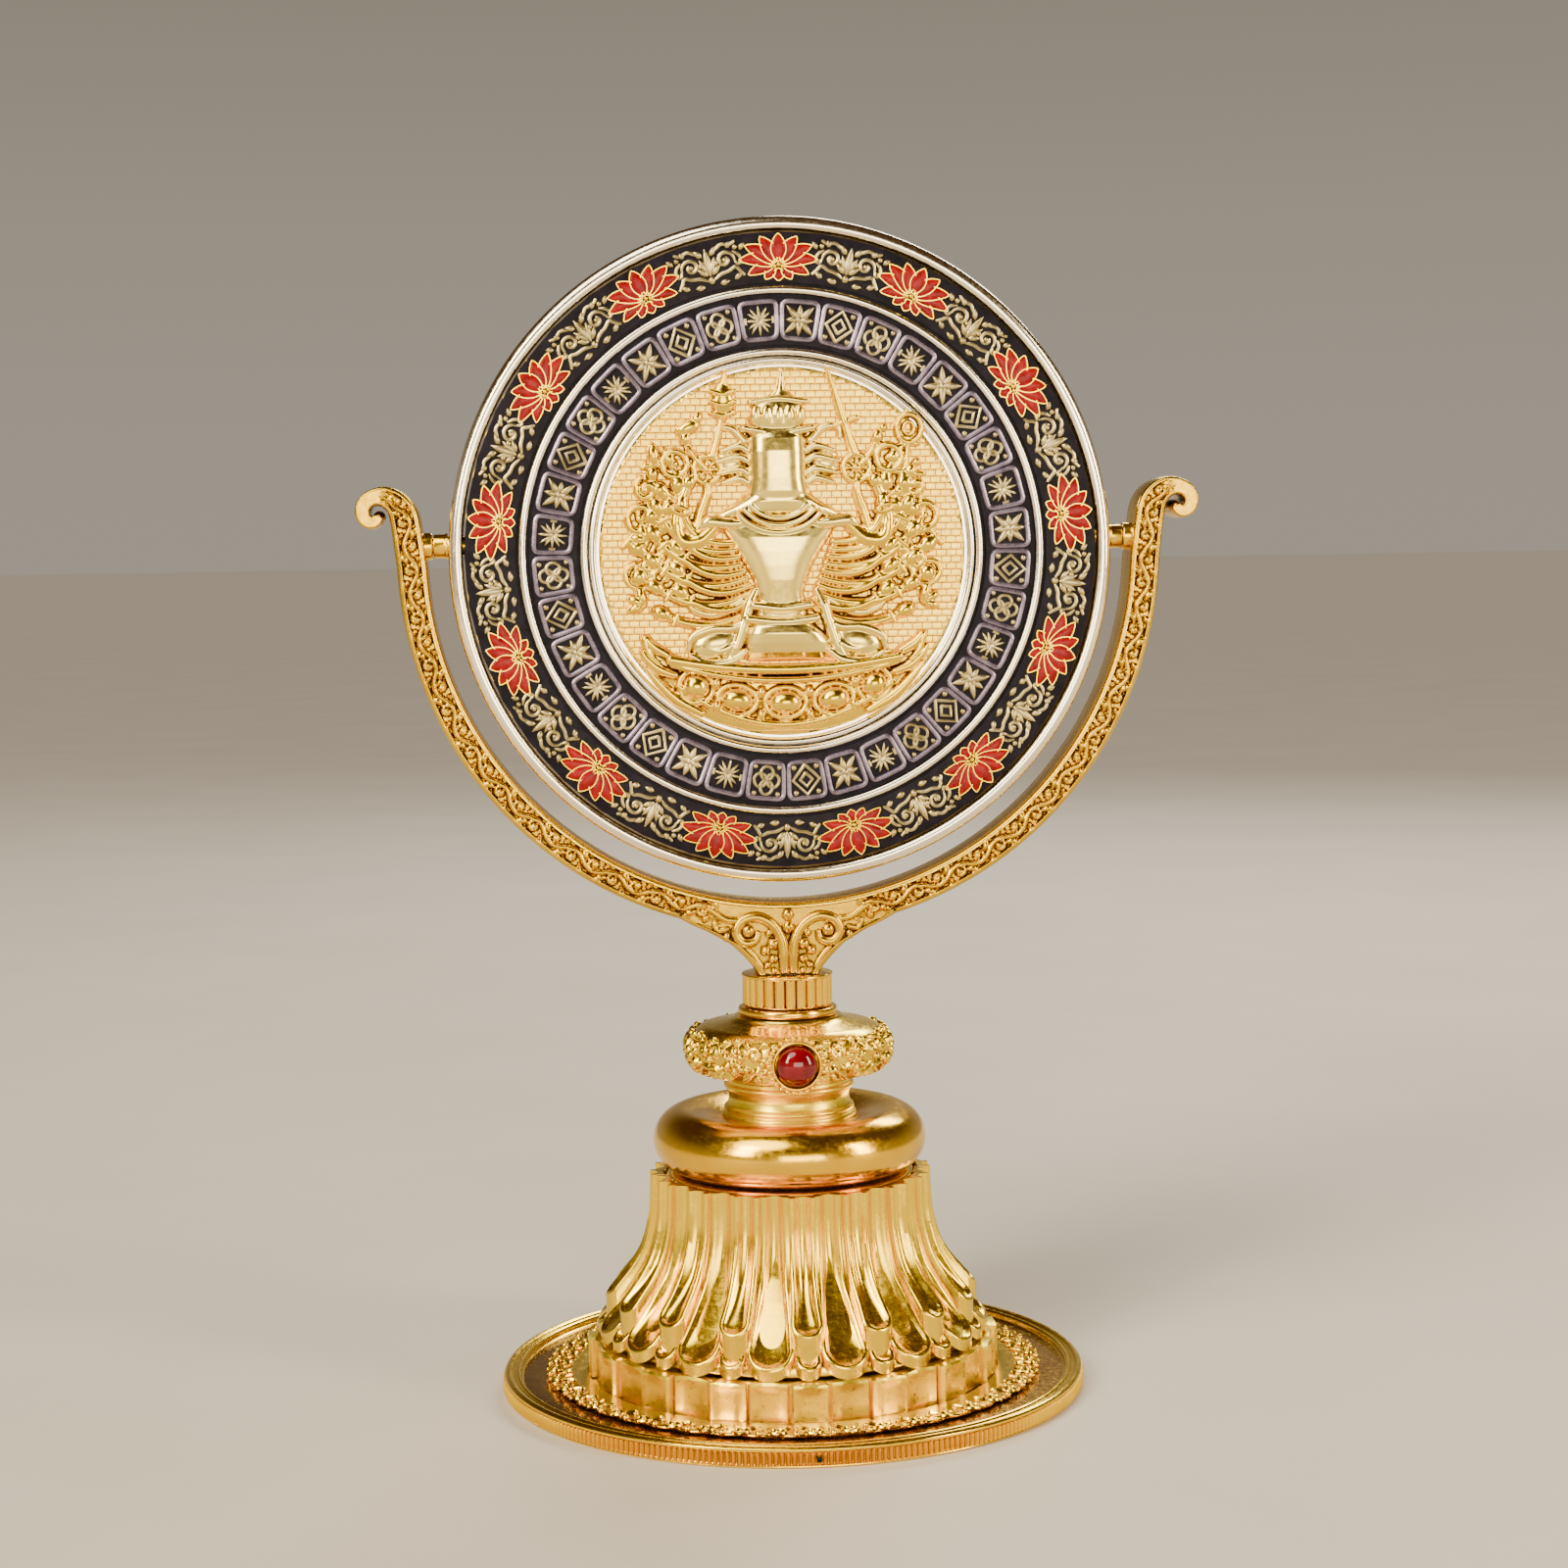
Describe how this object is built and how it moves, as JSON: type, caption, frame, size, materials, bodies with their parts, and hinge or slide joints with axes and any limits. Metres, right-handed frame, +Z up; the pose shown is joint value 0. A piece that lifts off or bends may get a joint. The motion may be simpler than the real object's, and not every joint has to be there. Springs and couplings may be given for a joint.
{
  "type": "prayer wheel",
  "caption": "Tabletop flip-disc prayer wheel: round two-faced disc on side pins in a crescent yoke, on a jewelled lotus-bell stand.",
  "frame": {"origin": "centre of the flat underside, on the table", "axes": "+Z up, -Y towards the front face of the disc, +X to the right seen from the front"},
  "size_m": [0.127, 0.0894, 0.178],
  "materials": {
    "gold_plate": "polished gold plating on a cast body",
    "pale_gold": "mirror-polished pale gold plating",
    "antique_gold": "darkened antique gold relief",
    "dark_enamel": "dark gunmetal enamel",
    "red_enamel": "glossy red enamel",
    "ruby_glass": "glossy deep red cabochon",
    "steel": "zinc-plated",
    "paper": "blank wound paper",
    "felt": "black felt"
  },
  "bodies": {
    "stand": {"base_plate": "gold_plate", "felt_pad": "felt", "lace_ring": "gold_plate", "petal_drum": "gold_plate", "lotus_bell": "gold_plate", "cushion_ring": "gold_plate", "turned_neck": "gold_plate", "jewel_knob": "gold_plate", "ruby_bezel": "pale_gold", "ruby_cabochon": "ruby_glass", "collar_flange": "gold_plate", "fluted_collar": "gold_plate", "crescent_yoke": "gold_plate", "tie_rod": "steel", "tie_nut": "steel", "tie_washer": "steel", "pivot_bush_left": "gold_plate", "pivot_bush_right": "gold_plate"},
    "wheel": {"wheel_rim": "pale_gold", "core_ring": "gold_plate", "scripture_core": "paper", "pivot_pin_left": "gold_plate", "pivot_pin_right": "gold_plate", "front_plate": "dark_enamel", "front_ring_inner": "pale_gold", "front_ring_outer": "pale_gold", "tile_ring": "antique_gold", "scroll_ring": "antique_gold", "lotus_flower_01": "red_enamel", "lotus_flower_02": "red_enamel", "lotus_flower_03": "red_enamel", "lotus_flower_04": "red_enamel", "lotus_flower_05": "red_enamel", "lotus_flower_06": "red_enamel", "lotus_flower_07": "red_enamel", "lotus_flower_08": "red_enamel", "lotus_flower_09": "red_enamel", "lotus_flower_10": "red_enamel", "lotus_flower_11": "red_enamel", "lotus_flower_12": "red_enamel", "lotus_flower_13": "red_enamel", "medallion": "gold_plate", "seated_figure": "gold_plate", "arm_fan_left": "gold_plate", "arm_fan_right": "gold_plate", "lotus_throne": "gold_plate", "back_plate": "dark_enamel", "back_ring": "pale_gold", "back_mirror": "pale_gold"}
  },
  "joints": [
    {"name": "disc_flip", "type": "hinge", "parent": "stand", "child": "wheel", "pos_m": [0, 0, 0.1296], "axis": [1, 0, 0], "continuous": true}
  ]
}
